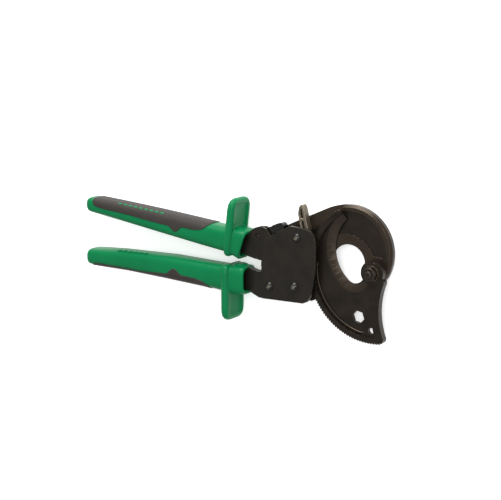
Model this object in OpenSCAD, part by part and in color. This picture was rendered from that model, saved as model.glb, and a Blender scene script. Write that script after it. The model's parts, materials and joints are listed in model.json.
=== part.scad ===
// Ratchet cable cutter lying on its side: the jaws point along +X, +Z is up, and the origin is at the centre
// of the bounding box's underside. Every module is drawn from the blade pivot and then moved by place().

/* [Blades] */
// Radius to the tips of the ratchet teeth
tooth_tip_r = 52.7; // [48:0.1:56]
// Number of teeth in a full turn
teeth_per_turn = 148; // [120:4:200]
// Depth of one ratchet tooth
tooth_depth = 1.1; // [0.6:0.05:1.4]
// Thickness of the moving blade
moving_blade_t = 5.5; // [4:0.1:5.5]
// Thickness of the fixed blade
fixed_blade_t = 5; // [4:0.1:6]
// Thickness of the moving blade's web, inside the toothed rim
web_t = 3.1; // [2.5:0.1:4]
// Radius of the moving blade's hub around the pivot
hub_r = 9; // [8.8:0.1:9.4]
// Radius of the fixed blade's hub around the pivot
fixed_hub_r = 9.4; // [9.2:0.1:11]
// Radius of the round jaw edge in the fixed blade
jaw_r = 13.1; // [12:0.1:14]

/* [Pivots] */
// Radius of the blade pivot bolt's shoulder
blade_pivot_r = 4.4; // [4:0.1:4.6]
// Radius of the handle pivot screw's shoulder
handle_pivot_r = 3; // [2.5:0.1:3.2]
// Radial running clearance of every turning fit
running_gap = 0.05; // [0.02:0.01:0.09]
// Width across the flats of the pivot nut
nut_af = 9.6; // [9:0.1:10]
// Width across the flats of the hexagon hole in the moving blade
hex_hole_af = 8.6; // [7:0.1:10]
// Radius of the small round hole in the moving blade
round_hole_r = 2.3; // [1.5:0.1:2.4]

/* [Frame] */
// Height of the front plate's back face above the shear plane
plate_z = 7; // [7:0.1:8]
// Thickness of the front plate
plate_t = 3; // [2:0.1:4]
// Radius of a button screw head
screw_head_r = 3.6; // [3:0.1:4]

/* [Handles] */
// Width of a grip, measured across the tool's thickness
grip_w = 20; // [18:0.5:23]
// Width of a hand guard, measured across the tool's thickness
guard_w = 27; // [24:0.5:30]
// Thickness of a hand guard
guard_t = 6.6; // [5:0.1:8]
// Depth of the soft inlays
inlay_t = 2; // [1.5:0.1:3]
// How far the moving handle opens, in degrees
handle_travel = 24; // [15:1:26]

/* [Hidden] */
$fn = 96;
eps = 0.01;
// clearance between parts that slide past each other along Z
side_gap = 0.2;
blade_gap = 0.1;

// places in the tool's plane, from the blade pivot
handle_pivot = [-60.2, 20.8];
left_screw = [-83.9, -18.7];
right_screw = [-62.2, -16.5];
latch_pivot = [-96.7, 18.6];
drive_pivot = [-57.8, 1.5];
stop_pin_at = [-76.7, 11.8];
spring_post_at = [-80, -4.9];
leaf_rivet_at = [-66, 10];
spring_rivet_at = [-79.5, 6.2];

// layers between the fixed blade's face at z = 0 and the front plate
cheek_t = 1.9;
rear_cheek_z = side_gap;
front_cheek_z = plate_z - side_gap - cheek_t;
core_z = rear_cheek_z + cheek_t;
core_t = front_cheek_z - core_z;
mid_z = core_z + side_gap;
mid_t = core_t - 2 * side_gap;
grip_mid_z = plate_z / 2;
plate_top = plate_z + plate_t;
tab_drop = 1.4;

// the fixed blade's rim is two arcs that meet without a corner: the front one, then a flatter one over the top
arch_at = [-21.3, 12.9];
arch_r = 34.4;
crown_a = 85;
crown_start_a = 95;
crown_end_a = 112.5;
crown_drop = 9.07;
crown_r = arch_r + crown_drop;
crown_at = arch_at - crown_drop * [cos(crown_a), sin(crown_a)];

// the whole tool's box, which sets the origin
head_right = arch_at[0] + arch_r;
handle_left = -262;
tool_bottom = -tooth_tip_r;
tool_top = crown_at[1] + crown_r;
guard_bottom_z = grip_mid_z - guard_w / 2;

// ---------------------------------------------------------------- shared shapes

// moves the blade-pivot frame to the part's own origin
module place() {
    translate([-(head_right + handle_left) / 2, -(tool_top + tool_bottom) / 2, -guard_bottom_z]) children();
}

// a vertical rod or disc at a place in the tool's plane
module post(at, r, z0, z1) {
    translate([at[0], at[1], z0]) cylinder(r = r, h = z1 - z0);
}

// a vertical slab with the outline of its children
module slab(z0, z1) {
    translate([0, 0, z0]) linear_extrude(z1 - z0) children();
}

module disc(at, r) {
    translate(at) circle(r = r);
}

// points along an arc
function arc_points(at, r, a0, a1, n = 10) =
    [for (i = [0:n]) at + r * [cos(a0 + (a1 - a0) * i / n), sin(a0 + (a1 - a0) * i / n)]];

// straight link with round ends
module link_2d(a, ra, b, rb) {
    hull() {
        disc(a, ra, $fn = 32);
        disc(b, rb, $fn = 32);
    }
}

// ---------------------------------------------------------------- blades

tooth_pitch = 360 / teeth_per_turn;
tooth_root_r = tooth_tip_r - tooth_depth;
teeth_start = 122.4;
teeth_count = 64;
teeth_end = teeth_start + teeth_count * tooth_pitch;
// where each tooth's tip begins and ends, as parts of the pitch
tip_from = 0.78;
tip_to = 0.9;
function polar(r, a) = [r * cos(a), r * sin(a)];

// sector of the toothed rim: each tooth rises slowly and drops steeply on its far side
module toothed_sector() {
    polygon(concat(
        [[0, 0], polar(tooth_root_r, teeth_start)],
        [for (i = [0:teeth_count - 1]) each [
            polar(tooth_root_r, teeth_start + i * tooth_pitch),
            polar(tooth_tip_r, teeth_start + (i + tip_from) * tooth_pitch),
            polar(tooth_tip_r, teeth_start + (i + tip_to) * tooth_pitch)
        ]],
        [polar(tooth_root_r, teeth_end)]
    ));
}

// bush pressed into the hub
bush_r = blade_pivot_r + 1.4;

// the cutting edge is one long arc and one short arc, tangent to each other
edge_at = [-1.6, 15.3];
edge_r = 30.7;
heel_r = 7.8;
heel_a = 230;
heel_at = edge_at + (edge_r - heel_r) * [cos(heel_a), sin(heel_a)];
edge_bevel = 6.4;
edge_land = 0.6;
tail_at = [62, -27.2];
tail_r = 56;

// side of the long arc that may be cut, so that it ends where the heel arc begins
module edge_side_2d() {
    polygon([[-60, 60], [40, 60], [4, 2], heel_at, heel_at + polar(40, heel_a), [-60, -16]]);
}

module moving_blade_outline() {
    difference() {
        union() {
            difference() {
                toothed_sector();
                intersection() {
                    disc(edge_at, edge_r);
                    edge_side_2d();
                }
                disc(heel_at, heel_r);
                // square-cut nose
                polygon([[-34, 53], [-28.3, 45.6], [-21.6, 42.6], [-24.2, 38.2], [-10, 30], [-10, 60]]);
            }
            disc([0, 0], hub_r);
            // tail web between the hub and the last tooth
            polygon([
                [0, 0], [9.6, -5.4], [12, -40], [10.6, -46], [9.6, -50.4], [8.2, -51.2],
                polar(tooth_root_r, teeth_end), polar(tooth_root_r, teeth_end - 3), [-12, -40]
            ]);
        }
        disc(tail_at, tail_r);
        disc([0, 0], bush_r);
    }
}

rim_w = 4.6;
border_w = 6.2;
hex_hole_at = [-11.6, -34.3];
hex_hole_turn = 48;
round_hole_at = [-0.9, -43.4];
boss_r = 7.8;
boss_top = 6.3;

// pocket in the front face: the web inside the rim and beside the tail's raised border
module web_pocket_2d() {
    difference() {
        circle(r = tooth_tip_r - rim_w);
        disc([0, 0], hub_r);
        disc(tail_at, tail_r + border_w);
    }
}

module moving_blade() place() color("#2f2b27") {
    z0 = blade_gap;
    z1 = blade_gap + moving_blade_t;
    web_top = z0 + web_t;
    difference() {
        union() {
            difference() {
                slab(z0, z1) moving_blade_outline();
                slab(web_top, z1 + 1) web_pocket_2d();
                // hollow-ground bevels behind the cutting edge
                intersection() {
                    translate([edge_at[0], edge_at[1], z0 + edge_land])
                        cylinder(r1 = edge_r, r2 = edge_r + edge_bevel, h = web_t - edge_land + eps);
                    slab(z0, web_top + 1) edge_side_2d();
                }
                translate([heel_at[0], heel_at[1], z0 + edge_land])
                    cylinder(r1 = heel_r, r2 = heel_r + edge_bevel, h = web_t - edge_land + eps);
            }
            post([0, 0], hub_r, z0, z1);
            post([0, 0], boss_r, z0, boss_top);
        }
        post([0, 0], bush_r, -1, boss_top + 1);
        translate([hex_hole_at[0], hex_hole_at[1], -1]) rotate(hex_hole_turn)
            cylinder(r = hex_hole_af / 2 / cos(30), h = moving_blade_t + 2, $fn = 6);
        post(round_hole_at, round_hole_r, -1, z1 + 1);
    }
}

module blade_pivot_bush() place() color("#8a7350") {
    difference() {
        post([0, 0], bush_r, blade_gap, boss_top);
        post([0, 0], blade_pivot_r + running_gap, -1, boss_top + 1);
    }
}

bolt_shoulder_top = boss_top + 0.1;
bolt_head_r = 8;
bolt_head_t = 3.4;
bolt_head_chamfer = 1;
stud_chamfer = 0.6;
nut_turn = 15;
nut_chamfer = 1;
washer_t = 0.9;
washer_r = 5.7;
nut_t = 3.8;
stud_r = 2.6;
stud_top = 12.4;

module blade_pivot_bolt() place() color("#26241f") {
    post([0, 0], bolt_head_r, -fixed_blade_t - bolt_head_t + bolt_head_chamfer, -fixed_blade_t);
    translate([0, 0, -fixed_blade_t - bolt_head_t])
        cylinder(r1 = bolt_head_r - 1.6, r2 = bolt_head_r, h = bolt_head_chamfer);
    post([0, 0], blade_pivot_r, -fixed_blade_t, bolt_shoulder_top);
    post([0, 0], stud_r, bolt_shoulder_top, stud_top - stud_chamfer);
    translate([0, 0, stud_top - stud_chamfer]) cylinder(r1 = stud_r, r2 = stud_r - stud_chamfer, h = stud_chamfer);
}

module blade_pivot_washer() place() color("#3a3733") {
    difference() {
        post([0, 0], washer_r, bolt_shoulder_top, bolt_shoulder_top + washer_t);
        post([0, 0], stud_r, 0, 20);
    }
}

module blade_pivot_nut() place() color("#26241f") {
    z0 = bolt_shoulder_top + washer_t;
    corner_r = nut_af / 2 / cos(30);
    difference() {
        intersection() {
            translate([0, 0, z0]) rotate(nut_turn) cylinder(r = corner_r, h = nut_t, $fn = 6);
            union() {
                post([0, 0], corner_r + 1, z0, z0 + nut_t - nut_chamfer);
                translate([0, 0, z0 + nut_t - nut_chamfer])
                    cylinder(r1 = corner_r + 0.3, r2 = nut_af / 2 - 0.3, h = nut_chamfer);
            }
        }
        post([0, 0], stud_r, 0, 20);
    }
}

// fixed blade: an arch from the frame plate over the jaw and down to the pivot
jaw_at = [-21.7, 5.1];
jaw_bevel = 4;
arch_chamfer = 1.8;
web_relief = 0.8;
band_at = [-24, 0.9];
band_r = 24.7;

module frame_outline() {
    polygon([
        [-47.5, -22.3], [-48.9, -26.2], [-52.4, -27.9], [-94.1, -28.7], [-101.5, -25.2], [-98.4, -20.3],
        [-97.8, -10], [-96.4, -8.6], [-91.7, -8.3], [-91, -0.6], [-89.4, 16], [-87.9, 21.4], [-58, 35.4],
        [-40, 30], [-35.6, 10.6], [-42.5, 1.5], [-46.4, -9]
    ]);
}

// the mouth under the arch, where the cable goes in
module mouth_2d() {
    disc(jaw_at, jaw_r);
    polygon([
        [-32.2, 13], [-36.4, 9.6], [-42.5, 1.5], [-46.4, -9], [-47.5, -60], [30, -60], [30, -8], [7.9, -4.3],
        [0, 0], [-12, 6]
    ]);
}

module arch_2d() {
    disc(arch_at, arch_r);
    polygon(concat(
        [[-30, -10], arch_at, arch_at + polar(arch_r - 0.6, 90)],
        arc_points(crown_at, crown_r, crown_start_a, crown_end_a, 7),
        [[-60, 34.4], [-60, -10]]
    ));
}

// wedge that takes the front corner off one arc of the arch
module rim_wedge(at, r, a0, a1) {
    translate([at[0], at[1], 0]) rotate(a0) rotate_extrude(angle = a1 - a0)
        polygon([[r - arch_chamfer, eps], [r + 1, eps], [r + 1, -arch_chamfer - 1]]);
}

module fixed_blade() place() color("#2f2b27") {
    difference() {
        union() {
            difference() {
                slab(-fixed_blade_t, 0) arch_2d();
                slab(-fixed_blade_t - 1, 1) mouth_2d();
                rim_wedge(arch_at, arch_r, -30, 100);
                // relieved web between the ground band and the outer rim
                slab(-web_relief, 1) difference() {
                    disc(arch_at, arch_r - rim_w);
                    disc(band_at, band_r);
                    disc([0, 0], fixed_hub_r + 2);
                    translate([-80, -20]) square([46, 80]);
                }
            }
            slab(-fixed_blade_t, 0) frame_outline();
            post([0, 0], fixed_hub_r, -fixed_blade_t, 0);
        }
        // bevel behind the jaw's cutting edge
        intersection() {
            translate([jaw_at[0], jaw_at[1], -fixed_blade_t - eps])
                cylinder(r1 = jaw_r + jaw_bevel, r2 = jaw_r, h = fixed_blade_t - edge_land);
            slab(-fixed_blade_t - 1, 0) polygon([[-34.6, 8], [-11, 8], [-4, 16], [-10, 40], [-34.6, 40]]);
        }
        post([0, 0], blade_pivot_r, -20, 20);
        for (at = [left_screw, right_screw, handle_pivot]) post(at, screw_r, -20, 20);
        post(stop_pin_at, pin_r, -20, 20);
        post(spring_post_at, post_r, -20, 20);
    }
}

// ---------------------------------------------------------------- frame

screw_r = 2.4;
pin_r = 2;
post_r = 1.6;
// how far the pins reach into the front plate
pin_seat = 1.5;
// how far each screw's shank runs into its own head
shank_seat = 0.1;

module plate_outline() {
    polygon([
        [-88.3, 17.4], [-67.5, 28.6], [-66, 29.1], [-52.8, 28.1], [-48.5, 26.6], [-45.7, 23.4], [-44.4, 18.8],
        [-44.2, -0.3], [-46.2, -14.8], [-48.5, -22.6], [-51.2, -26.8], [-54.6, -28.3], [-94.1, -28.7],
        [-101.5, -25.2], [-98.4, -20.3], [-97.8, -10], [-96.4, -8.6], [-91.7, -8.3], [-91, -0.6]
    ]);
}

// side view of the plate: flat, with a joggle down to the tab below tab_top_y
joggle_x0 = -92.9;
joggle_x1 = -89.1;
tab_top_y = -4;
module plate_profile() {
    slab(plate_z, plate_top) translate([-120, tab_top_y]) square([100, 60]);
    translate([0, tab_top_y, 0]) rotate([90, 0, 0]) linear_extrude(60) polygon([
        [-40, plate_z], [-40, plate_top], [joggle_x1, plate_top], [joggle_x0, plate_top - tab_drop],
        [-110, plate_top - tab_drop], [-110, plate_z - tab_drop], [joggle_x0, plate_z - tab_drop],
        [joggle_x1, plate_z]
    ]);
}

module front_plate() place() color("#2c2c2a") {
    difference() {
        intersection() {
            slab(0, 20) plate_outline();
            plate_profile();
        }
        for (at = [left_screw, right_screw, handle_pivot]) post(at, screw_r, 0, 20);
        post(stop_pin_at, pin_r, 0, plate_z + pin_seat);
        post(spring_post_at, post_r, 0, plate_z + pin_seat);
    }
}

// button head with a hexagon socket, standing on the plate
module button_head(at) {
    head_h = 2.1;
    dome_r = 4.4;
    translate([at[0], at[1], plate_top]) difference() {
        intersection() {
            cylinder(r = screw_head_r, h = head_h);
            translate([0, 0, head_h - dome_r]) sphere(r = dome_r);
        }
        translate([0, 0, 0.7]) cylinder(r = 1.45, h = head_h, $fn = 6);
    }
}

module frame_screws() place() color("#1d1d1c") {
    for (at = [left_screw, right_screw]) {
        button_head(at);
        post(at, screw_r, -fixed_blade_t, plate_top + shank_seat);
    }
}

module handle_pivot_screw() place() color("#1d1d1c") {
    button_head(handle_pivot);
    post(handle_pivot, screw_r, -fixed_blade_t, plate_top + shank_seat);
    post(handle_pivot, handle_pivot_r, 0, plate_z);
}

module travel_stop_pin() place() color("#77736c") {
    post(stop_pin_at, pin_r, -fixed_blade_t, plate_z + pin_seat);
}

module spring_post() place() color("#77736c") {
    post(spring_post_at, post_r, -fixed_blade_t, plate_z + pin_seat);
}

// fixed handle: one bar under the plate and its tab, narrowing inside the lower grip
tang_end_x = -246;
module tang_outline() {
    polygon([
        [-57, -12.4], [-57, -20.5], [-60.4, -24.4], [-88, -25.6], [-95.6, -27.4], [-100.1, -26.3], [-106, -24.4],
        [-118, -21.2], [tang_end_x, -18.6], [tang_end_x, -9.6], [-118, -10.4], [-107, -6.6], [-99, -8.9],
        [-90, -9.2], [-62, -9.6]
    ]);
}

module fixed_handle_tang() place() color("#2c2c2a") {
    difference() {
        intersection() {
            slab(0, plate_z) tang_outline();
            translate([0, 60, 0]) rotate([90, 0, 0]) linear_extrude(120) polygon([
                [-40, 0], [-40, plate_z], [joggle_x1, plate_z], [joggle_x0, plate_z - tab_drop],
                [tang_end_x - 1, plate_z - tab_drop], [tang_end_x - 1, 0]
            ]);
        }
        for (at = [left_screw, right_screw]) post(at, screw_r, -1, 20);
    }
}

// ---------------------------------------------------------------- moving handle

cheek_end_x = -246;
stop_slot_r = norm(stop_pin_at - handle_pivot);
stop_slot_gap = 0.4;
stop_slot_a = atan2(stop_pin_at[1] - handle_pivot[1], stop_pin_at[0] - handle_pivot[0]) + 360;

module cheek_outline() {
    polygon(concat(
        arc_points(drive_pivot, 3.3, 20, -95),
        [
            [-61.5, -1.8], [-90.4, -0.5], [-99.1, 0.7], [-104.4, 1.8], [-112, 4.6], [-118, 8.2],
            [-131, 9.6], [cheek_end_x, 23.2], [cheek_end_x, 32.6], [-131, 20], [-116, 20.6],
            [-104.4, 19.4], [-102.4, 21.8], [-99.9, 23.9], [-96.2, 25.4], [-92, 25.7], [-88.8, 24.6],
            [-86.6, 22], [-84.6, 19.4], [-80.4, 17.6], [-66.2, 17.4]
        ],
        arc_points(handle_pivot, 4.9, 165, -30, 16)
    ));
}

module cheek(z0) {
    z1 = z0 + cheek_t;
    difference() {
        slab(z0, z1) cheek_outline();
        post(handle_pivot, handle_pivot_r + running_gap, z0 - 1, z1 + 1);
        post(drive_pivot, drive_pin_r, z0 - 1, z1 + 1);
        post(latch_pivot, latch_pin_r, z0 - 1, z1 + 1);
        for (at = rivet_places) post(at, rivet_r, z0 - 1, z1 + 1);
        // curved slot that clears the stop pin over the whole travel
        translate([handle_pivot[0], handle_pivot[1], z0 - 1]) rotate(stop_slot_a)
            rotate_extrude(angle = handle_travel)
                translate([stop_slot_r - pin_r - stop_slot_gap, 0])
                    square([2 * (pin_r + stop_slot_gap), cheek_t + 2]);
        for (a = [stop_slot_a, stop_slot_a + handle_travel])
            post(handle_pivot + polar(stop_slot_r, a), pin_r + stop_slot_gap, z0 - 1, z1 + 1);
    }
}

drive_pin_r = 1.5;
latch_pin_r = 2.1;
rivet_r = 1.3;
rivet_places = [leaf_rivet_at, spring_rivet_at, [-126, 15], [-186, 21.2], [-236, 26.8]];

module handle_cheek_front() place() color("#33322f") cheek(front_cheek_z);
module handle_cheek_rear() place() color("#33322f") cheek(rear_cheek_z);

module handle_core() place() color("#5d5a55") {
    difference() {
        slab(core_z, core_z + core_t) polygon([
            [-113, 7], [-118, 9.2], [-131, 10.6], [cheek_end_x, 24.2], [cheek_end_x, 31.6], [-131, 19],
            [-113, 19.6]
        ]);
        for (at = rivet_places) post(at, rivet_r, 0, 10);
    }
}

module cheek_rivets() place() color("#77736c") {
    for (at = rivet_places) post(at, rivet_r, rear_cheek_z, front_cheek_z + cheek_t);
}

module drive_pawl_pin() place() color("#77736c") {
    post(drive_pivot, drive_pin_r, rear_cheek_z, front_cheek_z + cheek_t);
}

module latch_pin() place() color("#1d1d1c") {
    difference() {
        post(latch_pivot, latch_pin_r, rear_cheek_z, front_cheek_z + cheek_t);
        post(latch_pivot, latch_pin_r - 0.55, 0, 10);
    }
}

// latch: an eye between the cheeks and a wider rounded bar beyond the lug
latch_elbow = [-81.6, 25.2];
latch_end = [-76.4, 27.2];
module handle_latch() place() color("#1f1e1c") {
    difference() {
        union() {
            slab(mid_z, mid_z + mid_t) {
                link_2d(latch_pivot, 3.7, latch_elbow, 2.4);
            }
            slab(rear_cheek_z + 0.2, front_cheek_z + cheek_t - 0.2) link_2d(latch_elbow, 2.9, latch_end, 3);
        }
        post(latch_pivot, latch_pin_r + running_gap, 0, 10);
    }
}

// ---------------------------------------------------------------- pawls and springs

pawl_gap = 0.35;
drive_nose_a = 166;
hold_nose_a = 155.5;
// each nose is a small round tip that stands just clear of the teeth
nose_r = 0.9;
function nose_at(a) = polar(tooth_tip_r + pawl_gap + nose_r, a);

// stem of the hold pawl, which the thumb lever is pushed over
module stem_2d() {
    polygon([[-60.6, 22], [-56.4, 21.2], [-53.6, 27], [-55.8, 37], [-58.2, 37], [-58.6, 27]]);
}

module drive_pawl() place() color("#6a6660") {
    difference() {
        slab(mid_z, mid_z + mid_t) {
            disc(drive_pivot, 2.9);
            link_2d(drive_pivot + [-0.4, 0.4], 2.4, nose_at(drive_nose_a + 1) + [-0.3, 0], nose_r + 0.3);
            link_2d(nose_at(drive_nose_a), nose_r, nose_at(drive_nose_a + 3), nose_r);
        }
        post(drive_pivot, drive_pin_r + running_gap, 0, 10);
    }
}

module hold_pawl() place() color("#6a6660") {
    difference() {
        slab(mid_z, mid_z + mid_t) {
            disc(handle_pivot, 4.6);
            link_2d(handle_pivot + [2, 0], 2.6, nose_at(hold_nose_a + 1) + [-0.6, 0.3], nose_r + 0.8);
            disc(nose_at(hold_nose_a), nose_r);
            // tail for the spring and stem for the thumb lever
            link_2d(handle_pivot, 3.4, handle_pivot + [-6.6, -0.4], 1.1);
            stem_2d();
        }
        post(handle_pivot, handle_pivot_r + running_gap, 0, 10);
    }
}

lever_z0 = 0.3;
lever_z1 = 6.7;
pocket_t = 1.2;
module release_lever_outline() {
    polygon([
        [-58.6, 26.6], [-61.2, 38.6], [-60.4, 43.2], [-59, 45.2], [-57.7, 45.2], [-56.7, 43.2], [-54.9, 36.2],
        [-52.2, 26.6]
    ]);
}

// cast thumb lever: pushed over the pawl's stem, with two shallow pockets in its face
module release_lever() place() color("#8a8172") {
    difference() {
        slab(lever_z0, lever_z1) release_lever_outline();
        slab(mid_z, mid_z + mid_t) stem_2d();
        slab(lever_z1 - pocket_t, lever_z1 + 1)
            polygon([[-57.9, 27.8], [-59.1, 33.6], [-56.3, 33.6], [-54.9, 27.8]]);
        slab(lever_z1 - pocket_t, lever_z1 + 1)
            polygon([[-59.3, 35], [-60, 38.8], [-59.3, 42.2], [-58.4, 43.4], [-57.6, 41.2], [-56.5, 35]]);
    }
}

leaf_t = 0.5;
module leaf(a, b) {
    hull() {
        disc(a, leaf_t / 2, $fn = 16);
        disc(b, leaf_t / 2, $fn = 16);
    }
}

// leaf springs: an eye on a pin and a straight leaf
module hold_pawl_spring() place() color("#9a958c") {
    difference() {
        slab(mid_z, mid_z + mid_t) {
            disc(stop_pin_at, pin_r + 0.6);
            leaf(stop_pin_at + [-0.6, 2.3], handle_pivot + [-6.9, -3.6]);
        }
        post(stop_pin_at, pin_r, 0, 10);
    }
}

module drive_pawl_spring() place() color("#9a958c") {
    difference() {
        slab(mid_z, mid_z + mid_t) {
            disc(leaf_rivet_at, rivet_r + 0.6);
            leaf(leaf_rivet_at + [0, -1.6], drive_pivot + [-0.9, 6.6]);
        }
        post(leaf_rivet_at, rivet_r, 0, 10);
    }
}

// torsion spring: three touching turns and two straight legs
wire_r = 0.4;
coil_r = 2.4;
module handle_spring() place() color("#9a958c") {
    z_mid = mid_z + mid_t / 2;
    for (i = [-1:1])
        translate([spring_post_at[0], spring_post_at[1], z_mid + i * wire_r * 1.9])
            rotate_extrude() translate([coil_r, 0]) circle(r = wire_r, $fn = 24);
    translate([spring_post_at[0] + coil_r, spring_post_at[1], z_mid]) rotate([-90, 0, 0])
        cylinder(r = wire_r, h = 12.6, $fn = 24);
    translate([spring_post_at[0], spring_post_at[1] - coil_r, z_mid]) rotate([0, -90, 0])
        cylinder(r = wire_r, h = 7, $fn = 24);
}

// ---------------------------------------------------------------- grips

corner_r = 6;
// one end of a grip: a rounded block standing across the handle's line
module grip_end(x, y0, y1, w, r) {
    for (y = [y0 + r, y1 - r], z = [grip_mid_z - w / 2 + r, grip_mid_z + w / 2 - r])
        translate([x, y, z]) sphere(r = r, $fn = 24);
}

// a grip bar with its outer and inner edges given at three stations
module upper_bar(inset) {
    hull() {
        grip_end(-256 + inset, 23.6 + inset, 36 - inset, grip_w - 1 - 2 * inset, corner_r - inset);
        grip_end(-190, 13.2 + inset, 29.9 - inset, grip_w - 2 * inset, corner_r - inset);
    }
    hull() {
        grip_end(-190, 13.2 + inset, 29.9 - inset, grip_w - 2 * inset, corner_r - inset);
        grip_end(-126, 3.4 + inset, 23.4 - inset, grip_w - 2 * inset, corner_r - inset);
    }
}

module lower_bar(inset) {
    hull() {
        grip_end(-256 + inset, -20.6 + inset, -7.6 - inset, grip_w - 1 - 2 * inset, corner_r - inset);
        grip_end(-190, -23 + inset, -5 - inset, grip_w - 2 * inset, corner_r - inset);
    }
    hull() {
        grip_end(-190, -23 + inset, -5 - inset, grip_w - 2 * inset, corner_r - inset);
        grip_end(-126, -27.6 + inset, -7 - inset, grip_w - 2 * inset, corner_r - inset);
    }
}

// hand guard: an upright paddle with rounded corners; lean moves its far end along X
module guard(x, y0, y1, lean) {
    r = guard_t / 2;
    inner_w = guard_w - 2 * r;
    tip_w = inner_w - 10.6;
    hull() {
        for (z = [-inner_w / 2, inner_w / 2]) {
            translate([x, y0, grip_mid_z + z * 0.72]) sphere(r = r, $fn = 24);
            translate([x + lean * 0.8, y1 + (y0 > y1 ? 6 : -6), grip_mid_z + z]) sphere(r = r, $fn = 24);
        }
        for (z = [-tip_w / 2, tip_w / 2])
            translate([x + lean, y1, grip_mid_z + z]) sphere(r = r, $fn = 24);
    }
}

// region of each soft inlay, seen from the side: along the outer edge, with one tongue
module upper_inlay_2d() {
    polygon([
        [-137, 30], [-141, 24], [-150, 19.4], [-162, 19.6], [-165, 17.4], [-168.5, 15.6], [-172, 17.4],
        [-175, 19.8], [-213, 24.6], [-246, 28.4], [-251, 30.6], [-253.6, 35], [-252, 44], [-137, 40]
    ]);
}

module lower_inlay_2d() {
    polygon([
        [-136, -32], [-140, -24], [-149, -20.2], [-164, -18.4], [-167, -15.6], [-170, -14.2],
        [-173, -15.6], [-176, -18.6], [-204, -19.6], [-246, -18], [-251, -19.2], [-253, -22], [-252, -34]
    ]);
}

module upper_inlay_region() {
    difference() {
        slab(-20, 30) upper_inlay_2d();
        upper_bar(inlay_t);
    }
}

module lower_inlay_region() {
    difference() {
        slab(-20, 30) lower_inlay_2d();
        lower_bar(inlay_t);
    }
}

// the slot that each grip is moulded around
module upper_slot() {
    slab(rear_cheek_z, front_cheek_z + cheek_t) cheek_outline();
}

module lower_slot() {
    slab(0, plate_z - tab_drop) tang_outline();
}

// width of the hollow mouth in front of each guard
mouth_w = 14;

module upper_grip() place() color("#007a46") {
    difference() {
        union() {
            upper_bar(0);
            guard(-119.4, 4.2, 43.4, 4.8);
            // collar from the guard to the slanted mouth
            hull() {
                grip_end(-121, 3.6, 22.8, grip_w, 4);
                translate([-106.4, 18.6, 0]) grip_end(0, -3, 3, grip_w - 1, 2);
                translate([-111.4, 0.9, 0]) grip_end(0, -2.1, 2.1, grip_w - 4, 2);
            }
        }
        upper_inlay_region();
        upper_slot();
        // hollow mouth around the cheeks
        translate([0, 0, grip_mid_z - mouth_w / 2]) linear_extrude(mouth_w)
            polygon([[-114, 3.6], [-100, -0.4], [-94, 20.2], [-112, 20.2]]);
    }
}

module upper_grip_inlay() place() color("#4f4843") {
    intersection() {
        upper_bar(0);
        upper_inlay_region();
    }
}

module lower_grip() place() color("#007a46") {
    difference() {
        union() {
            lower_bar(0);
            guard(-121.5, -8.6, -46.6, 0.9);
            // collar and the raised pad that the upper grip closes onto
            hull() {
                grip_end(-122, -28.4, -6.6, grip_w, 4);
                grip_end(-107.6, -28.2, -5.6, grip_w - 1, 2);
            }
            translate([-113, -4.5, grip_mid_z]) rotate([90, 0, 0]) cylinder(r = 5, h = 5);
        }
        lower_inlay_region();
        lower_slot();
        // hollow mouth around the tang
        translate([-113, -26, grip_mid_z - mouth_w / 2]) cube([12, 18.2, mouth_w]);
    }
}

module lower_grip_inlay() place() color("#4f4843") {
    intersection() {
        lower_bar(0);
        lower_inlay_region();
    }
}

fixed_blade();
moving_blade();
blade_pivot_bush();
blade_pivot_bolt();
blade_pivot_washer();
blade_pivot_nut();
front_plate();
frame_screws();
handle_pivot_screw();
travel_stop_pin();
spring_post();
handle_spring();
hold_pawl();
release_lever();
hold_pawl_spring();
drive_pawl();
drive_pawl_pin();
drive_pawl_spring();
handle_cheek_front();
handle_cheek_rear();
handle_core();
cheek_rivets();
handle_latch();
latch_pin();
fixed_handle_tang();
upper_grip();
upper_grip_inlay();
lower_grip();
lower_grip_inlay();
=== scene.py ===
"""Looks of the ratchet cable cutter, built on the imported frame.

Lengths are in mm from the blade pivot at the shear plane, with X towards the jaws, Y towards the moving
handle and Z towards the front plate. at() turns such a point into the row frame, in metres."""

import json
import math

import bmesh
import bpy
from mathutils import Matrix, Vector


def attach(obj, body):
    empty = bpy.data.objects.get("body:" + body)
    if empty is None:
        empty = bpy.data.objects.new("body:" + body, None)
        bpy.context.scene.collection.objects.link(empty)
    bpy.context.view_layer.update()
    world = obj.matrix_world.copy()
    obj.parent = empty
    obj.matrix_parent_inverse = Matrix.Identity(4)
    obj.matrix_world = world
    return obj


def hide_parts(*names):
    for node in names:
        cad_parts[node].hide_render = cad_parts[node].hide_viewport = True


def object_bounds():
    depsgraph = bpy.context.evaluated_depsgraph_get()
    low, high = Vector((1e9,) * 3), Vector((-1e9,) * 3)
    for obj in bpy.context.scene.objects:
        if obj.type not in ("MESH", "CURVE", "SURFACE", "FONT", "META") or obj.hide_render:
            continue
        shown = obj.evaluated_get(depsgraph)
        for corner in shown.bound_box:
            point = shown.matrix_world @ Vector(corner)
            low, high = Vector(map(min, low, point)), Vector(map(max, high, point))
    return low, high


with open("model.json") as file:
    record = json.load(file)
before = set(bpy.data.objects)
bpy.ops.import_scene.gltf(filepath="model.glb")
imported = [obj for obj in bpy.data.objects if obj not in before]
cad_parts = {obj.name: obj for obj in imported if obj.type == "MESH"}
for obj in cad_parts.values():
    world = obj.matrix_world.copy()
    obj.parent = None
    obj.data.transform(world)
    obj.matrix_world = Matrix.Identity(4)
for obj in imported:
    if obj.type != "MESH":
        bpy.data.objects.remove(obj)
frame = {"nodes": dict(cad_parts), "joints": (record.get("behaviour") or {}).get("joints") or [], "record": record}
cad_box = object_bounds()

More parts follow.
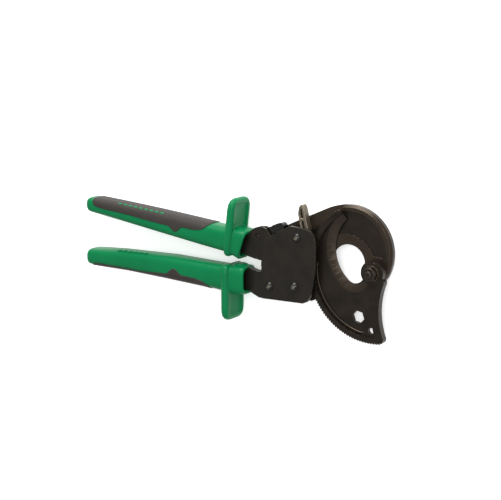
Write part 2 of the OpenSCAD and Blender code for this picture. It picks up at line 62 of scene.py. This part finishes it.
MM = 0.001
PIVOT_HEIGHT = 2.85  # of the blade_pivot joint above the shear plane
joints = {joint["name"]: joint for joint in frame["joints"]}
bodies = {node: body for body, nodes in frame["record"]["behaviour"]["bodies"].items() for node in nodes}
origin = Vector(joints["blade_pivot"]["pos_m"]) - Vector((0, 0, PIVOT_HEIGHT * MM))


def at(x, y, z):
    """A point given in mm from the blade pivot, in the row frame."""
    return origin + MM * Vector((x, y, z))


# ---------------------------------------------------------------- materials

NOISE_LOW, NOISE_HIGH = 0.3, 0.7  # most of the noise lies between these


def nodes_of(name):
    """A new material, its node tree and its main shader."""
    material = bpy.data.materials.new(name)
    material.use_nodes = True
    tree = material.node_tree
    return material, tree, tree.nodes["Principled BSDF"]


def noise(tree, size_mm, stretch=(1, 1, 1), detail=3.0):
    """Noise in object space whose features are about size_mm across, stretched per axis."""
    coord = tree.nodes.new("ShaderNodeTexCoord")
    mapping = tree.nodes.new("ShaderNodeMapping")
    mapping.inputs["Scale"].default_value = stretch
    texture = tree.nodes.new("ShaderNodeTexNoise")
    texture.inputs["Scale"].default_value = 1 / (size_mm * MM)
    texture.inputs["Detail"].default_value = detail
    tree.links.new(coord.outputs["Object"], mapping.inputs["Vector"])
    tree.links.new(mapping.outputs["Vector"], texture.inputs["Vector"])
    return texture.outputs["Fac"]


def ramp(tree, value, stops):
    """A colour ramp from a value; stops are (position, colour). A new ramp has two elements already."""
    node = tree.nodes.new("ShaderNodeValToRGB")
    for i, (place, color) in enumerate(stops):
        element = node.color_ramp.elements[i] if i < 2 else node.color_ramp.elements.new(place)
        element.position = place
        element.color = (*color, 1)
    tree.links.new(value, node.inputs["Fac"])
    return node.outputs["Color"]


def spread(tree, value, low, high):
    """The noise's main range mapped to low..high."""
    node = tree.nodes.new("ShaderNodeMapRange")
    node.inputs["From Min"].default_value = NOISE_LOW
    node.inputs["From Max"].default_value = NOISE_HIGH
    node.inputs["To Min"].default_value = low
    node.inputs["To Max"].default_value = high
    tree.links.new(value, node.inputs["Value"])
    return node.outputs["Result"]


def bump(tree, shader, value, depth_mm):
    """A relief of the given depth, as shading only."""
    node = tree.nodes.new("ShaderNodeBump")
    node.inputs["Distance"].default_value = depth_mm * MM
    node.inputs["Strength"].default_value = 1.0
    tree.links.new(value, node.inputs["Height"])
    tree.links.new(node.outputs["Normal"], shader.inputs["Normal"])


def tint(color, factor):
    """The colour made lighter or darker by a factor."""
    return tuple(min(1.0, channel * factor) for channel in color)


def finish(name, color, rough, metallic, mottle_mm, mottle, grain_mm, grain_depth,
           stretch=(1, 1, 1), specular=0.5):
    """One surface finish: mottled colour, uneven roughness and a fine grain. rough is its least and most."""
    material, tree, shader = nodes_of(name)
    broad = noise(tree, mottle_mm)
    fine = noise(tree, grain_mm, stretch, 2.0)
    stops = [(NOISE_LOW, tint(color, 1 - mottle)), (NOISE_HIGH, tint(color, 1 + mottle))]
    tree.links.new(ramp(tree, broad, stops), shader.inputs["Base Color"])
    tree.links.new(spread(tree, fine, *rough), shader.inputs["Roughness"])
    shader.inputs["Metallic"].default_value = metallic
    shader.inputs["Specular IOR Level"].default_value = specular
    bump(tree, shader, fine, grain_depth)
    return material


BRUSHED = (0.12, 1, 0.12)  # grain drawn out along X and Z
green = finish("green_plastic", (0.0, 0.134, 0.043), (0.28, 0.40), 0.0, 22, 0.06, 0.5, 0.012, specular=0.14)
soft = finish("inlay_rubber", (0.026, 0.0215, 0.019), (0.55, 0.72), 0.0, 12, 0.12, 0.35, 0.03, specular=0.25)
oxide = finish("black_oxide", (0.020, 0.0155, 0.012), (0.3, 0.44), 0.7, 9, 0.25, 0.6, 0.006, specular=0.3)
ground = finish("ground_bevel", (0.040, 0.030, 0.022), (0.3, 0.36), 0.85, 9, 0.12, 0.5, 0.002, BRUSHED)
# Lighter steel on rounded edges and tooth flanks: partly real wear, partly a painted highlight where the edges
# catch the light.
wear_and_highlight = finish("edge_wear_and_highlight", (0.20, 0.16, 0.12), (0.28, 0.42), 0.9, 3, 0.35, 0.5, 0.006)
sheet = finish("plate_oxide", (0.0175, 0.0150, 0.0118), (0.36, 0.48), 0.6, 11, 0.2, 0.5, 0.005, specular=0.3)
# Lighter steel on the rounded edges of the plates, tang, washer and bolt: a painted highlight where the edges
# catch the light.
sheet_edge_highlight = finish("plate_edge_highlight", (0.06, 0.052, 0.042), (0.34, 0.48), 0.8, 3, 0.4, 0.5, 0.005)
screw = finish("screw_oxide", (0.02, 0.02, 0.019), (0.16, 0.28), 0.8, 2, 0.2, 0.4, 0.004)
# Lighter steel inside the screws' hexagon sockets: a painted highlight.
socket_highlight = finish("socket_highlight_steel", (0.26, 0.24, 0.20), (0.2, 0.32), 1.0, 1.5, 0.3, 0.4, 0.004)
pin = finish("plain_steel", (0.36, 0.34, 0.31), (0.3, 0.42), 1.0, 3, 0.12, 0.4, 0.004)
spring = finish("spring_wire", (0.42, 0.40, 0.37), (0.24, 0.36), 1.0, 2, 0.1, 0.3, 0.004)
pawl = finish("pawl_steel", (0.20, 0.18, 0.16), (0.32, 0.46), 0.95, 3, 0.15, 0.4, 0.005)
cast = finish("cast_lever", (0.14, 0.115, 0.082), (0.4, 0.55), 0.75, 4, 0.2, 0.7, 0.03)
# Lighter metal on the release lever's rounded edges: a painted highlight.
cast_edge_highlight = finish("cast_edge_highlight", (0.36, 0.31, 0.24), (0.34, 0.48), 0.85, 2, 0.25, 0.5, 0.01)
bronze = finish("sintered_bronze", (0.42, 0.29, 0.15), (0.4, 0.55), 0.95, 2, 0.15, 0.3, 0.012)

# ---------------------------------------------------------------- pieces made from CAD nodes

SAME_POINT = 0.002
FLAT_ANGLE = 0.4  # degrees: faces that meet at less than this are one flat face
EDGE_ANGLE = 28  # degrees: faces that meet at this or more have an edge to round
BEVEL_STEPS = 3


def new_piece(name, mesh, materials, body):
    """An object in the scene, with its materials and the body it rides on."""
    piece = bpy.data.objects.new(name, mesh)
    bpy.context.scene.collection.objects.link(piece)
    mesh.materials.clear()
    for material in materials:
        mesh.materials.append(material)
    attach(piece, body)
    return piece


def applied(piece):
    """The piece's mesh with its modifiers applied."""
    graph = bpy.context.evaluated_depsgraph_get()
    mesh = bpy.data.meshes.new_from_object(piece.evaluated_get(graph))
    piece.modifiers.clear()
    piece.data = mesh
    return mesh


def cleaned(source):
    """The node's surface without its triangles: coincident points joined and flat areas merged."""
    bm = bmesh.new()
    bm.from_mesh(source.data)
    bmesh.ops.remove_doubles(bm, verts=bm.verts, dist=SAME_POINT * MM)
    bmesh.ops.dissolve_limit(bm, angle_limit=math.radians(FLAT_ANGLE), verts=bm.verts, edges=bm.edges)
    bm.verts.index_update()
    points = [v.co.copy() for v in bm.verts]
    faces = [[v.index for v in f.verts] for f in bm.faces]
    bm.free()
    mesh = bpy.data.meshes.new(source.name + "_mesh")
    mesh.from_pydata(points, [], faces)
    mesh.update()
    return mesh


def edged(node, materials, width, keep_sharp=None, pick=None):
    """A node's shape with its edges rounded. Rounded faces take the last material, and the others take the
    first, or the one whose number pick(centre, normal) gives. keep_sharp(point) leaves an edge as it is."""
    mesh = cleaned(frame["nodes"][node])
    piece = new_piece(node + "_shape", mesh, materials, bodies[node])
    bm = bmesh.new()
    bm.from_mesh(mesh)
    weight = bm.edges.layers.float.new("bevel_weight_edge")
    for edge in bm.edges:
        if len(edge.link_faces) != 2 or edge.calc_face_angle(0) < math.radians(EDGE_ANGLE):
            continue
        middle = ((edge.verts[0].co + edge.verts[1].co) / 2 - origin) / MM
        edge[weight] = 0.0 if keep_sharp and keep_sharp(middle) else 1.0
    for face in bm.faces:
        face.smooth = True
        if pick:
            face.material_index = pick((face.calc_center_median() - origin) / MM, face.normal)
    for edge in bm.edges:
        edge.smooth = edge.calc_face_angle(0) < math.radians(EDGE_ANGLE)
    bm.to_mesh(mesh)
    bm.free()
    bevel = piece.modifiers.new("edges", "BEVEL")
    bevel.limit_method = "WEIGHT"
    bevel.width = width * MM
    bevel.segments = BEVEL_STEPS
    bevel.material = len(materials) - 1
    bevel.miter_outer = "MITER_ARC"
    shading = piece.modifiers.new("shading", "WEIGHTED_NORMAL")
    shading.keep_sharp = True
    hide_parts(node)


TOOTH_ROOT = 51.2
TEETH_END_X = 10  # past this X the outline beyond the roots isn't teeth
WEB_REACH = 49  # slopes further out than this aren't the ground bevel
STEEP = 0.5  # a face whose normal has less Z than this is a flank
SLOPE_FROM, SLOPE_TO = 0.2, 0.985  # Z of the normal of a face that slopes; above it, the face is level


def on_teeth(point):
    """Whether a point is on the toothed part of the rim."""
    return math.hypot(point.x, point.y) > TOOTH_ROOT and point.x < TEETH_END_X


def blade_face(centre, normal):
    """Ground bevel behind the cutting edge, tooth flanks in the lighter edge steel as a painted highlight, and
    plain oxide everywhere else.
    """
    if on_teeth(centre) and abs(normal.z) < STEEP:
        return 2
    reach = math.hypot(centre.x, centre.y)
    return 1 if SLOPE_FROM < normal.z < SLOPE_TO and reach < WEB_REACH else 0


ARCH_FRONT_Z = -0.2
ARCH_BACK_X = -46


def arch_face(centre, normal):
    """The ground band around the jaw and the chamfer along the rim."""
    band = normal.z > SLOPE_TO and centre.z > ARCH_FRONT_Z and centre.x > ARCH_BACK_X
    chamfer = SLOPE_FROM < normal.z < SLOPE_TO
    return 1 if band or chamfer else 0


LEVER_FRONT = 6.7
POCKET_FROM, POCKET_TO = 5, LEVER_FRONT - 0.5  # heights between which the pockets' floors lie
LEVEL = 0.9
PLATE_TOP = 10
SOCKET_R = 1.5
SCREWS = ((-83.9, -18.7), (-62.2, -16.5), (-60.2, 20.8))


def lever_pocket_shade(centre, normal):
    """Dark floors of the two pockets, as painted shade in the recesses."""
    return 1 if normal.z > LEVEL and POCKET_FROM < centre.z < POCKET_TO else 0


def socket_highlight_face(centre, normal):
    """Lighter steel inside the hexagon sockets, as a painted highlight."""
    near = min(math.hypot(centre.x - x, centre.y - y) for x, y in SCREWS)
    return 1 if centre.z > PLATE_TOP and near < SOCKET_R else 0


edged("moving_blade", [oxide, ground, wear_and_highlight], 0.35, keep_sharp=on_teeth, pick=blade_face)
edged("fixed_blade", [oxide, ground, wear_and_highlight], 0.4, pick=arch_face)
edged("front_plate", [sheet, sheet_edge_highlight], 0.45)
edged("handle_cheek_front", [sheet, wear_and_highlight], 0.3)
edged("handle_cheek_rear", [sheet, wear_and_highlight], 0.3)
edged("fixed_handle_tang", [sheet, sheet_edge_highlight], 0.35)
edged("handle_latch", [screw, wear_and_highlight], 0.35)
# The release lever's pocket floors take the dark oxide as painted shade.
edged("release_lever", [cast, oxide, cast_edge_highlight], 0.3, pick=lever_pocket_shade)
edged("blade_pivot_nut", [oxide, wear_and_highlight], 0.25)
edged("blade_pivot_washer", [oxide, sheet_edge_highlight], 0.15)
edged("blade_pivot_bolt", [oxide, sheet_edge_highlight], 0.2)
edged("frame_screws", [screw, socket_highlight, screw], 0.12, pick=socket_highlight_face)
edged("handle_pivot_screw", [screw, socket_highlight, screw], 0.12, pick=socket_highlight_face)

# nodes that are shown as the CAD made them
kept = {
    "blade_pivot_bush": bronze, "travel_stop_pin": pin, "spring_post": pin, "handle_spring": spring,
    "hold_pawl": pawl, "hold_pawl_spring": spring, "drive_pawl": pawl, "drive_pawl_pin": pin,
    # the latch pin takes the dark oxide as painted shade for the hole it sits in
    "drive_pawl_spring": spring, "handle_core": sheet, "cheek_rivets": pin, "latch_pin": oxide,
}
for node, material in kept.items():
    carried = frame["nodes"][node]
    if not carried.material_slots:
        carried.data.materials.append(material)
    for material_slot in carried.material_slots:
        material_slot.material = material

# ---------------------------------------------------------------- grips

GRIP_Z = 3.5
CORNER_STEPS = 6
CORNER_SHARE = 0.48  # most of a side that the curve at one of its ends may take
SQUARENESS = 3.4  # power of a grip's section: 2 is an ellipse, and more is squarer
SECTION_POINTS = 64


def rounded(points, radius):
    """A closed outline with every corner turned into a curve."""
    curve = []
    for i, point in enumerate(points):
        corner = Vector(point)
        before = Vector(points[i - 1])
        after = Vector(points[(i + 1) % len(points)])
        reach = min(radius, CORNER_SHARE * (before - corner).length, CORNER_SHARE * (after - corner).length)
        start = corner + (before - corner).normalized() * reach
        end = corner + (after - corner).normalized() * reach
        for j in range(CORNER_STEPS + 1):
            t = j / CORNER_STEPS
            curve.append(start * (1 - t) ** 2 + corner * 2 * t * (1 - t) + end * t * t)
    return curve


def loft(rings):
    """A closed skin through rings of points, capped at both ends."""
    bm = bmesh.new()
    rows = [[bm.verts.new(at(*p)) for p in ring] for ring in rings]
    for a, b in zip(rows, rows[1:]):
        for i in range(len(a)):
            j = (i + 1) % len(a)
            bm.faces.new((a[i], a[j], b[j], b[i]))
    bm.faces.new(rows[0][::-1])
    bm.faces.new(rows[-1])
    bmesh.ops.recalc_face_normals(bm, faces=bm.faces)
    mesh = bpy.data.meshes.new("loft")
    bm.to_mesh(mesh)
    bm.free()
    return mesh


def section(x, top, bottom, half, power=SQUARENESS, lean=0.0):
    """A soft rectangle across the handle at x; lean slants its plane."""
    middle, reach = (top + bottom) / 2, (top - bottom) / 2
    ring = []
    for i in range(SECTION_POINTS):
        a = 2 * math.pi * i / SECTION_POINTS
        y = reach * math.copysign(abs(math.sin(a)) ** (2 / power), math.sin(a))
        z = half * math.copysign(abs(math.cos(a)) ** (2 / power), math.cos(a))
        ring.append((x + lean * y, middle + y, GRIP_Z + z))
    return ring


def along(table, x):
    """The value at x of a line through (x, value) points."""
    for (x0, v0), (x1, v1) in zip(table, table[1:]):
        if x <= x1:
            break
    return v0 + (v1 - v0) * (x - x0) / (x1 - x0)


BAR_END_X = -118
BAR_STEP = 3
BAR_FIRST_STEP = 7
END_R = 4.5
HALF = [(-262, 9.5), (-190, 10), (BAR_END_X, 10)]  # half of the bars' width, along X


def bar(end_x, top, bottom, grow=0.0):
    """A grip's bar between its top and bottom lines, with a squared and rounded free end."""
    steps = [0, 0.2, 0.8, 1.8, 3.0, END_R]
    steps += range(BAR_FIRST_STEP, int(BAR_END_X - end_x) + 1, BAR_STEP)
    rings = []
    for d in steps:
        inset = END_R - math.sqrt(END_R**2 - (END_R - d) ** 2) if d < END_R else 0
        x = end_x + d - (grow if d < END_R else 0)
        inset -= grow
        rings.append(section(x, along(top, x) - inset, along(bottom, x) + inset, along(HALF, x) - inset))
    return loft(rings)


GUARD_THICK = 6.6


def paddle(x, outline, lean):
    """A hand guard: a bead runs round its outline and both faces are dished inside it.
    outline is (z, y) around the guard, and lean is how far X moves for each mm of Y."""
    r = GUARD_THICK / 2
    profile = [(9.5, -r + 1.8), (5.8, -r + 1.6), (4.2, -r + 0.4), (r, -r)]
    profile += [(r - r * math.cos(math.radians(a)), r * math.sin(math.radians(a))) for a in range(-75, 90, 15)]
    profile += [(r, r), (4.2, r - 0.4), (5.8, r - 1.7), (9.5, r - 2.2)]
    count = len(outline)
    rings = []
    for inset, offset in profile:
        ring = []
        for i, point in enumerate(outline):
            side = outline[(i + 1) % count] - outline[i - 1]
            inward = Vector((-side.y, side.x)).normalized()
            moved = point + inward * inset
            ring.append((x + offset + lean * moved.y, moved.y, GRIP_Z + moved.x))
        rings.append(ring)
    return loft(rings)


DOME_POINTS = 40


def dome(x, z, base, top, reach_x, reach_z):
    """A low oval pad that rises along Y and narrows at its top."""
    rings = []
    for y, share in ((base, 1.0), (top - 0.9, 1.0), (top - 0.25, 0.93), (top, 0.76)):
        ring = []
        for i in range(DOME_POINTS):
            a = i / (DOME_POINTS / 2) * math.pi
            ring.append((x + reach_x * share * math.cos(a), y, z + reach_z * share * math.sin(a)))
        rings.append(ring)
    return loft(rings)


def fused(meshes, voxel, passes):
    """One smooth closed skin around overlapping closed meshes."""
    bm = bmesh.new()
    for mesh in meshes:
        bm.from_mesh(mesh)
    joined = bpy.data.meshes.new("joined")
    bm.to_mesh(joined)
    bm.free()
    shape = bpy.data.objects.new("joined", joined)
    bpy.context.scene.collection.objects.link(shape)
    remesh = shape.modifiers.new("skin", "REMESH")
    remesh.mode = "VOXEL"
    remesh.voxel_size = voxel * MM
    remesh.use_smooth_shade = True
    soften = shape.modifiers.new("soften", "SMOOTH")
    soften.iterations = passes
    soften.factor = 0.5
    mesh = applied(shape)
    bpy.data.objects.remove(shape)
    return mesh


SLAB_REACH = 14


def inside(mesh, outline):
    """The part of a closed mesh whose side view lies inside the outline."""
    slab = loft([[(p.x, p.y, z) for p in outline] for z in (GRIP_Z - SLAB_REACH, GRIP_Z + SLAB_REACH)])
    region = bpy.data.objects.new("region", slab)
    shape = bpy.data.objects.new("shape", mesh)
    for item in (region, shape):
        bpy.context.scene.collection.objects.link(item)
    keep = shape.modifiers.new("keep", "BOOLEAN")
    keep.operation = "INTERSECT"
    keep.solver = "EXACT"
    keep.object = region
    result = applied(shape)
    bpy.data.objects.remove(shape)
    bpy.data.objects.remove(region)
    return result


# the grips' top and bottom lines in the side view, as (x, y)
UPPER_TOP = [(-262, 36.5), (-225.7, 33.6), (-185.5, 29.8), (-146.9, 25.7), (BAR_END_X, 22.6)]
UPPER_BOTTOM = [(-262, 24.2), (-224.1, 18.7), (-185.1, 12.6), (-146.7, 6.7), (BAR_END_X, 2.6)]
LOWER_TOP = [(-262, -7), (-226.6, -5.4), (-176.2, -4.8), (-145.2, -6.0), (BAR_END_X, -7)]
LOWER_BOTTOM = [(-262, -20.6), (-218.9, -21.2), (-184.7, -23.1), (-145.1, -25.7), (BAR_END_X, -28.4)]

# hand guards, as (z, y) corners seen from the jaws
upper_guard = rounded([(-13.3, 8), (-11, 1), (11, 1), (13.3, 8), (13.3, 46.5), (-13.3, 46.5)], 9)
lower_guard = rounded([(-13.3, -49.8), (13.3, -49.8), (13.3, -10), (11, -5.4), (-11, -5.4), (-13.3, -10)], 9)

# collars: outer rings from the guard to the mouth's lip, then back in to the bottom of the hollow
upper_collar = loft([
    section(-122, 23.2, 2.4, 9.9, 4), section(-116, 23.4, 1.6, 10.2, 4, 0.12),
    section(-111, 22.7, 0.2, 10.2, 4, 0.26), section(-108.2, 21.9, -1.0, 9.9, 4, 0.33),
    section(-107.2, 21.0, -0.4, 9.2, 4, 0.335), section(-107.3, 19.6, 1.0, 7.9, 4, 0.335),
    section(-108.4, 19.0, 1.7, 7.4, 4, 0.335), section(-116.5, 18.8, 4.2, 7.2, 4, 0.2),
])
lower_collar = loft([
    section(-122, -6.4, -28.6, 9.9, 4), section(-116, -6.1, -28.8, 10.3, 4),
    section(-109, -5.9, -28.4, 10.2, 4), section(-106.4, -6.2, -28.0, 9.8, 4),
    section(-105.6, -7.0, -27.2, 9.0, 4), section(-105.8, -8.4, -25.8, 7.8, 4),
    section(-107, -9.0, -25.2, 7.3, 4), section(-115, -9.2, -25.0, 7.1, 4),
])
pad = dome(-113, GRIP_Z, -8, -4.5, 5.4, 4.6)

# side views of the soft inlays
upper_inlay = rounded([
    (-129, 30), (-134.5, 26.2), (-142.6, 19.8), (-150.2, 18.9), (-162.6, 20.0), (-165.6, 17.0), (-168.4, 15.4),
    (-171.4, 17.2), (-174.4, 20.1), (-183.8, 20.9), (-213.5, 25), (-244, 28.2), (-250.6, 30.2), (-252, 36),
    (-250, 46), (-129, 42),
], 2.2)
lower_inlay = rounded([
    (-133, -34), (-138.3, -23.8), (-143, -20.9), (-150, -19.2), (-163.6, -18.4), (-167.4, -14.7),
    (-170.6, -13.6), (-173.8, -15.4), (-177, -18.6), (-204.4, -19.8), (-235, -18.3), (-250, -17.6),
    (-255, -20.4), (-257, -34),
], 2.2)

INLAY_PROUD = 0.5
VOXEL = 0.55
SHELL_PASSES = 6
INLAY_FINER, INLAY_PASSES = 0.7, 2  # a finer skin and less smoothing keep the inlay's outline crisp


def grip(name, end_x, top, bottom, guard, lean, x, extras, region, body):
    """One handle's two plastics: the green shell and the soft inlay that stands just proud of it."""
    shell = [bar(end_x, top, bottom), paddle(x, guard, lean)] + extras
    piece = new_piece(name + "_grip_shell", fused(shell, VOXEL, SHELL_PASSES), [green], body)
    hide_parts(name + "_grip")
    cut = inside(bar(end_x, top, bottom, INLAY_PROUD), region)
    skin = fused([cut], VOXEL * INLAY_FINER, INLAY_PASSES)
    inlay = new_piece(name + "_grip_soft", skin, [soft], body)
    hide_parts(name + "_grip_inlay")


grip("upper", -259.8, UPPER_TOP, UPPER_BOTTOM, upper_guard, 0.12, -120,
     [upper_collar], upper_inlay, "moving_handle")
grip("lower", -260.8, LOWER_TOP, LOWER_BOTTOM, lower_guard, 0.0, -121.2,
     [lower_collar, pad], lower_inlay, "frame")

RIB_LENGTH, RIB_PITCH, RIB_HEIGHT = 3.4, 5.2, 0.45
RIB_OUT = 0.4  # from the bar's lines to the surface that the ribs rise from
RIB_SUNK = 0.8  # depth of a rib's underside below that surface
RIB_CUTS = (0, 0.08, 0.2, 0.8, 0.92, 1)
RIB_STEPS = 8
RIB_FLANK = 5  # a rib reaches its height within a fifth of its width


def ribs(name, top, bottom, first_x, count, a0, a1, body):
    """A row of low ribs on a handle's upper corner, between the section angles a0 and a1."""
    bm = bmesh.new()
    for i in range(count):
        x0 = first_x + i * RIB_PITCH
        rings = []
        for t in RIB_CUTS:
            x = x0 + t * RIB_LENGTH
            high, low, half = along(top, x) + RIB_OUT, along(bottom, x) - RIB_OUT, along(HALF, x) + RIB_OUT
            rise = RIB_HEIGHT * math.sin(math.pi * min(0.5, 4 * min(t, 1 - t) + 0.05))
            ring = []
            for side, lift in ((1, rise), (-1, -RIB_SUNK)):
                for j in range(RIB_STEPS + 1):
                    k = j / RIB_STEPS if side > 0 else 1 - j / RIB_STEPS
                    a = math.radians(a0 + (a1 - a0) * k)
                    edge = min(1.0, RIB_FLANK * min(k, 1 - k))
                    h = lift * edge if side > 0 else lift
                    y = (high - low) / 2 * math.sin(a) ** (2 / SQUARENESS) + h * math.sin(a)
                    z = half * math.cos(a) ** (2 / SQUARENESS) + h * math.cos(a)
                    ring.append((x, (high + low) / 2 + y, GRIP_Z + z))
            rings.append(ring)
        bm.from_mesh(loft(rings))
    mesh = bpy.data.meshes.new(name)
    bm.to_mesh(mesh)
    bm.free()
    for face in mesh.polygons:
        face.use_smooth = True
    new_piece(name, mesh, [green], body)


ribs("upper_grip_ribs", UPPER_TOP, UPPER_BOTTOM, -226, 9, 48, 66, "moving_handle")
ribs("lower_grip_ribs", LOWER_TOP, LOWER_BOTTOM, -228, 6, 56, 72, "frame")

# low bead on the moving blade's web, just inside the toothed rim; its lighter ground-bevel colour is a painted
# highlight along the bead
BEAD_R = 46.2
BEAD_FROM, BEAD_TO = 176, 262
BEAD_STEPS = 60
BEAD_FLOOR = 3
BEAD_END, BEAD_RISE = 0.15, 0.3  # share of its height at each end, and what each step adds to it
bead_profile = [
    (-0.9, BEAD_FLOOR), (-0.75, 3.8), (-0.4, 4.35), (0, 4.5), (0.4, 4.35), (0.75, 3.8), (0.9, BEAD_FLOOR),
]
bead_rings = []
for i in range(BEAD_STEPS + 1):
    a = math.radians(BEAD_FROM + (BEAD_TO - BEAD_FROM) * i / BEAD_STEPS)
    taper = min(1.0, BEAD_END + BEAD_RISE * min(i, BEAD_STEPS - i))
    ring = []
    for out, z in bead_profile:
        height = BEAD_FLOOR + (z - BEAD_FLOOR) * taper
        ring.append(((BEAD_R + out) * math.cos(a), (BEAD_R + out) * math.sin(a), height))
    bead_rings.append(ring)
bead = loft(bead_rings)
for face in bead.polygons:
    face.use_smooth = len(face.vertices) == 4
new_piece("rim_bead", bead, [ground], "moving_blade")

# ---------------------------------------------------------------- stage, light and camera

FLOOR_SIZE = 20.0  # metres, so that no low view shows its edge
FLOOR_GAP = 0.1  # below the tool
PAPER_GLOW = 0.45
SKY = 0.72
floor_mesh = bpy.data.meshes.new("floor")
plane = bmesh.new()
bmesh.ops.create_grid(plane, x_segments=8, y_segments=8, size=FLOOR_SIZE)
plane.to_mesh(floor_mesh)
plane.free()
floor = bpy.data.objects.new("floor", floor_mesh)
floor.location.z = cad_box[0][2] - FLOOR_GAP * MM
bpy.context.scene.collection.objects.link(floor)
paper = finish("floor_paper", (0.9, 0.9, 0.9), (0.8, 0.9), 0.0, 60, 0.004, 1, 0.002)
paper_shader = paper.node_tree.nodes["Principled BSDF"]
paper_shader.inputs["Emission Color"].default_value = (1, 1, 1, 1)
paper_shader.inputs["Emission Strength"].default_value = PAPER_GLOW
floor_mesh.materials.append(paper)

world = bpy.data.worlds.new("studio")
world.use_nodes = True
world.node_tree.nodes["Background"].inputs["Color"].default_value = (1, 1, 1, 1)
world.node_tree.nodes["Background"].inputs["Strength"].default_value = SKY
bpy.context.scene.world = world
bpy.context.scene.view_settings.view_transform = "Standard"


def softbox(name, place, aim, size, power):
    """A round lamp at place that faces aim."""
    lamp = bpy.data.lights.new(name, "AREA")
    lamp.shape = "DISK"
    lamp.size = size
    lamp.energy = power
    light = bpy.data.objects.new(name, lamp)
    bpy.context.scene.collection.objects.link(light)
    light.location = at(*place)
    light.rotation_euler = (at(*aim) - at(*place)).to_track_quat("-Z", "Y").to_euler()


softbox("key", (-160, 620, 330), (-100, 0, 0), 0.55, 6.5)
softbox("fill", (260, 160, 620), (-60, 0, 0), 0.5, 2.2)

TURN, TILT = math.radians(32.4), math.radians(10.8)
DISTANCE = 953.3
AIM = (-103.3, 6.65, 5.6)
FOCAL_LENGTH, SENSOR_WIDTH = 89.9, 36
back = Vector((math.sin(TURN) * math.cos(TILT), math.sin(TILT), math.cos(TURN) * math.cos(TILT)))
right = Vector((math.cos(TURN), 0, -math.sin(TURN)))
above = back.cross(right)
lens = bpy.data.cameras.new("camera")
lens.lens = FOCAL_LENGTH
lens.sensor_width = SENSOR_WIDTH
camera = bpy.data.objects.new("camera", lens)
bpy.context.scene.collection.objects.link(camera)
facing = Matrix((right, above, back)).transposed().to_4x4()
camera.matrix_world = Matrix.Translation(at(*AIM) + back * DISTANCE * MM) @ facing
bpy.context.scene.camera = camera
